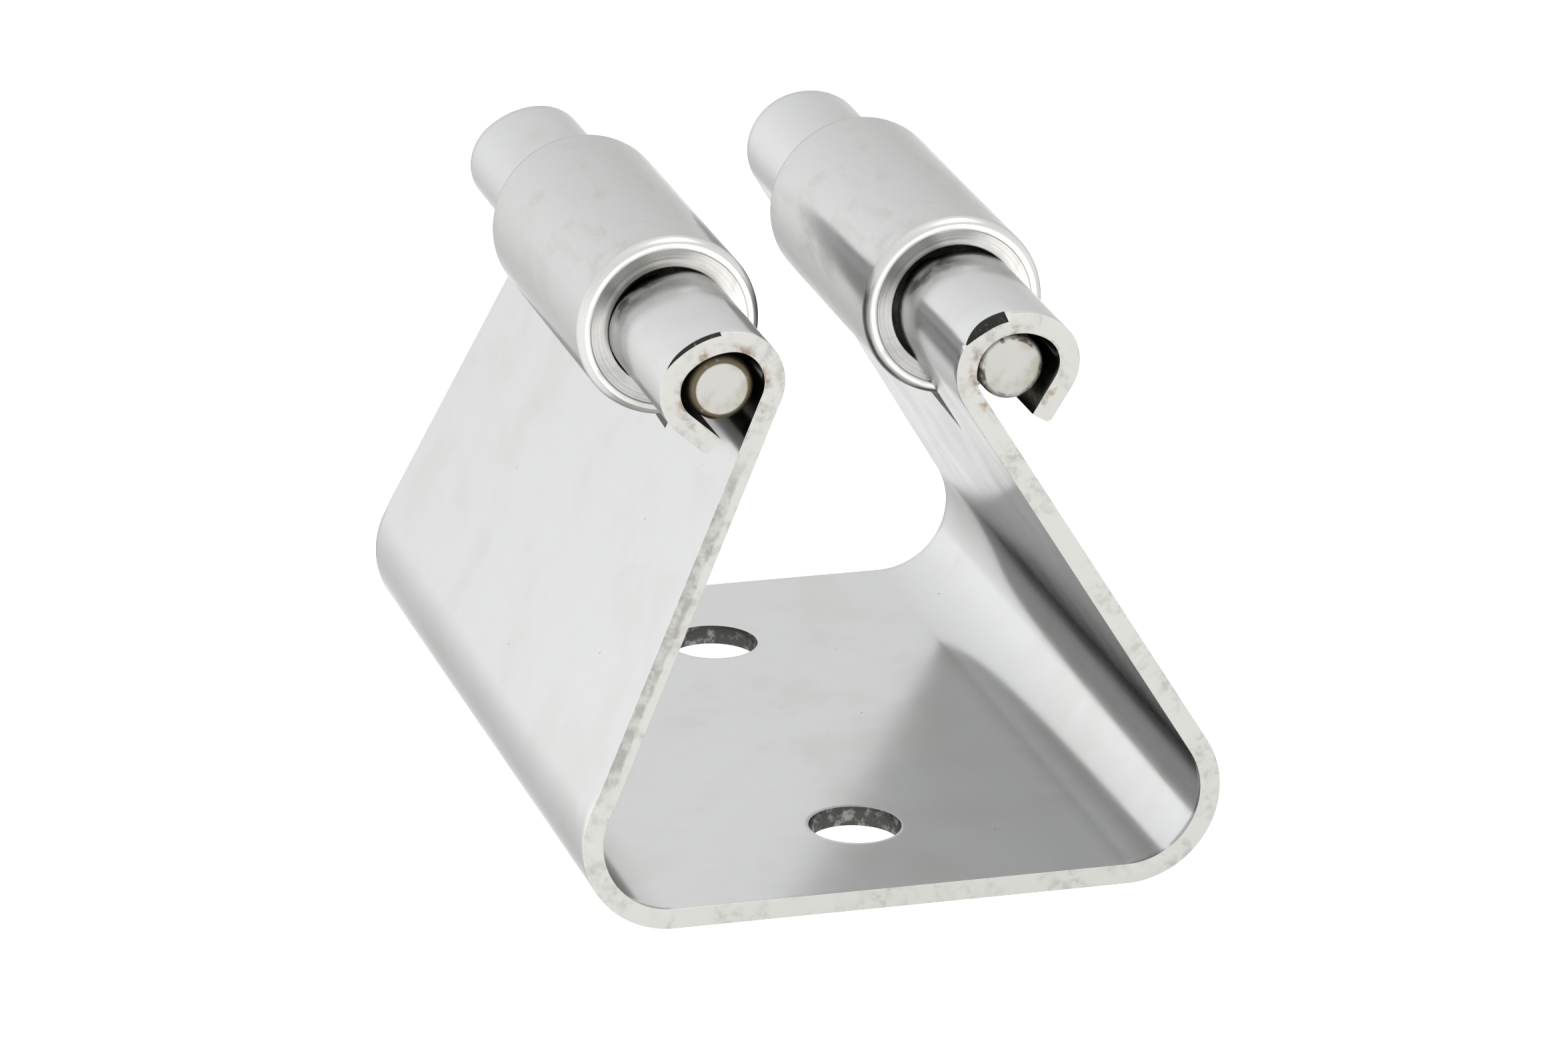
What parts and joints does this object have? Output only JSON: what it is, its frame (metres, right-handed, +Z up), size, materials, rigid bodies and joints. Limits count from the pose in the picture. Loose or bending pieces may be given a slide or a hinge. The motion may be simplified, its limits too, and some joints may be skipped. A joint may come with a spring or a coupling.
{
  "type": "roller spring clip",
  "caption": "Bent sheet steel spring clip whose inward-leaning arms carry freely turning rollers on pins, to snap around and hold a pole, oar or boat hook.",
  "frame": {"origin": "centre of the base's underside, midway between the two screw holes", "axes": "+Z up from the surface it is screwed to, through the mouth between the rollers; Y along the rollers' pins, -Y is the front; +X across the mouth, to the right"},
  "size_m": [0.0394, 0.0502, 0.0378],
  "materials": {
    "bracket_steel": "polished stainless sheet, warm-grey sheared edges",
    "roller_steel": "polished turned stainless, faint turning marks on the ends",
    "pin_steel": "satin ground stainless with slightly domed ends"
  },
  "bodies": {
    "bracket": {"spring_bracket": "bracket_steel"},
    "left_roller_set": {"left_roller": "roller_steel", "left_roller_pin": "pin_steel"},
    "right_roller_set": {"right_roller": "roller_steel", "right_roller_pin": "pin_steel"}
  },
  "joints": [
    {"name": "left_roller_spin", "type": "hinge", "parent": "bracket", "child": "left_roller_set", "pos_m": [-0.01067, 0, 0.03218], "axis": [0, 1, 0], "continuous": true},
    {"name": "right_roller_spin", "type": "hinge", "parent": "bracket", "child": "right_roller_set", "pos_m": [0.00717, 0, 0.03185], "axis": [0, 1, 0], "continuous": true}
  ]
}
